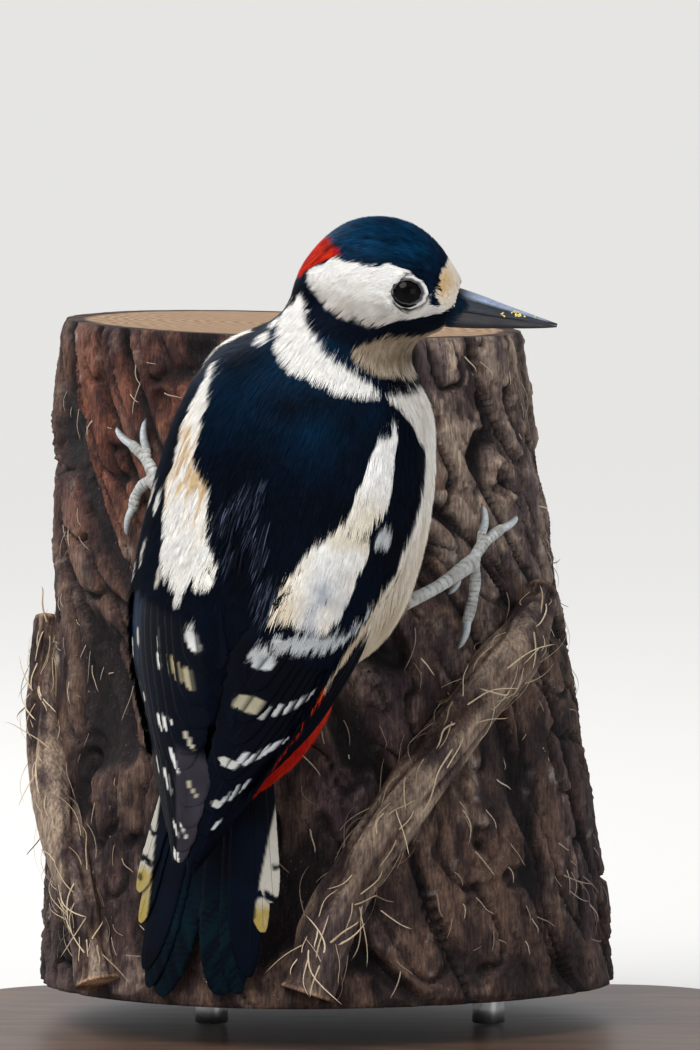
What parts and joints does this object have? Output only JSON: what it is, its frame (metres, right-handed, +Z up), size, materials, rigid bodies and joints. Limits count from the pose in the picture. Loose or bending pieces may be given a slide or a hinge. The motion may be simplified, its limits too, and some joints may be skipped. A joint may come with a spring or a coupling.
{
  "type": "great spotted woodpecker clinging to a trunk, life-size still model",
  "caption": "Life-size still model of a great spotted woodpecker clinging upright to a short length of tree trunk, head in profile, on a plain display stand",
  "frame": {"origin": "middle of the stand's underside", "axes": "+Z is up, -Y is the side that the bird's back faces and the trunk stands behind it towards +Y, +X is the side that the bird's bill points to"},
  "size_m": [0.196, 0.2137, 0.2149],
  "materials": {
    "plumage_black": "glossy blue-black feathers with white spots and bars",
    "plumage_head": "white, black and red short feathers",
    "plumage_buff": "soft buff-white feathers",
    "horn": "slate-grey horn, satin",
    "eye": "wet, near-black",
    "leg_skin": "grey scaled skin",
    "bark": "rough brown bark with cut ends",
    "climber_bark": "rough grey-brown bark",
    "stand_wood": "dark stained, satin",
    "stand_rod": "satin"
  },
  "bodies": {
    "root": {"bill_lower": "horn", "bill_upper": "horn", "claw_left_hind": "horn", "claw_left_inner": "horn", "claw_left_middle": "horn", "claw_left_outer": "horn", "claw_right_hind": "horn", "claw_right_inner": "horn", "claw_right_middle": "horn", "claw_right_outer": "horn", "eye_left": "eye", "eye_right": "eye", "foot_left": "leg_skin", "foot_right": "leg_skin", "head": "plumage_head", "neck": "plumage_head", "perch_climber_left": "climber_bark", "perch_climber_right": "climber_bark", "perch_log": "bark", "stand_base": "stand_wood", "stand_rod_left": "stand_rod", "stand_rod_right": "stand_rod", "tail": "plumage_black", "thigh_left": "plumage_buff", "thigh_right": "plumage_buff", "trunk": "plumage_black", "wing_left": "plumage_black", "wing_right": "plumage_black"}
  },
  "joints": []
}
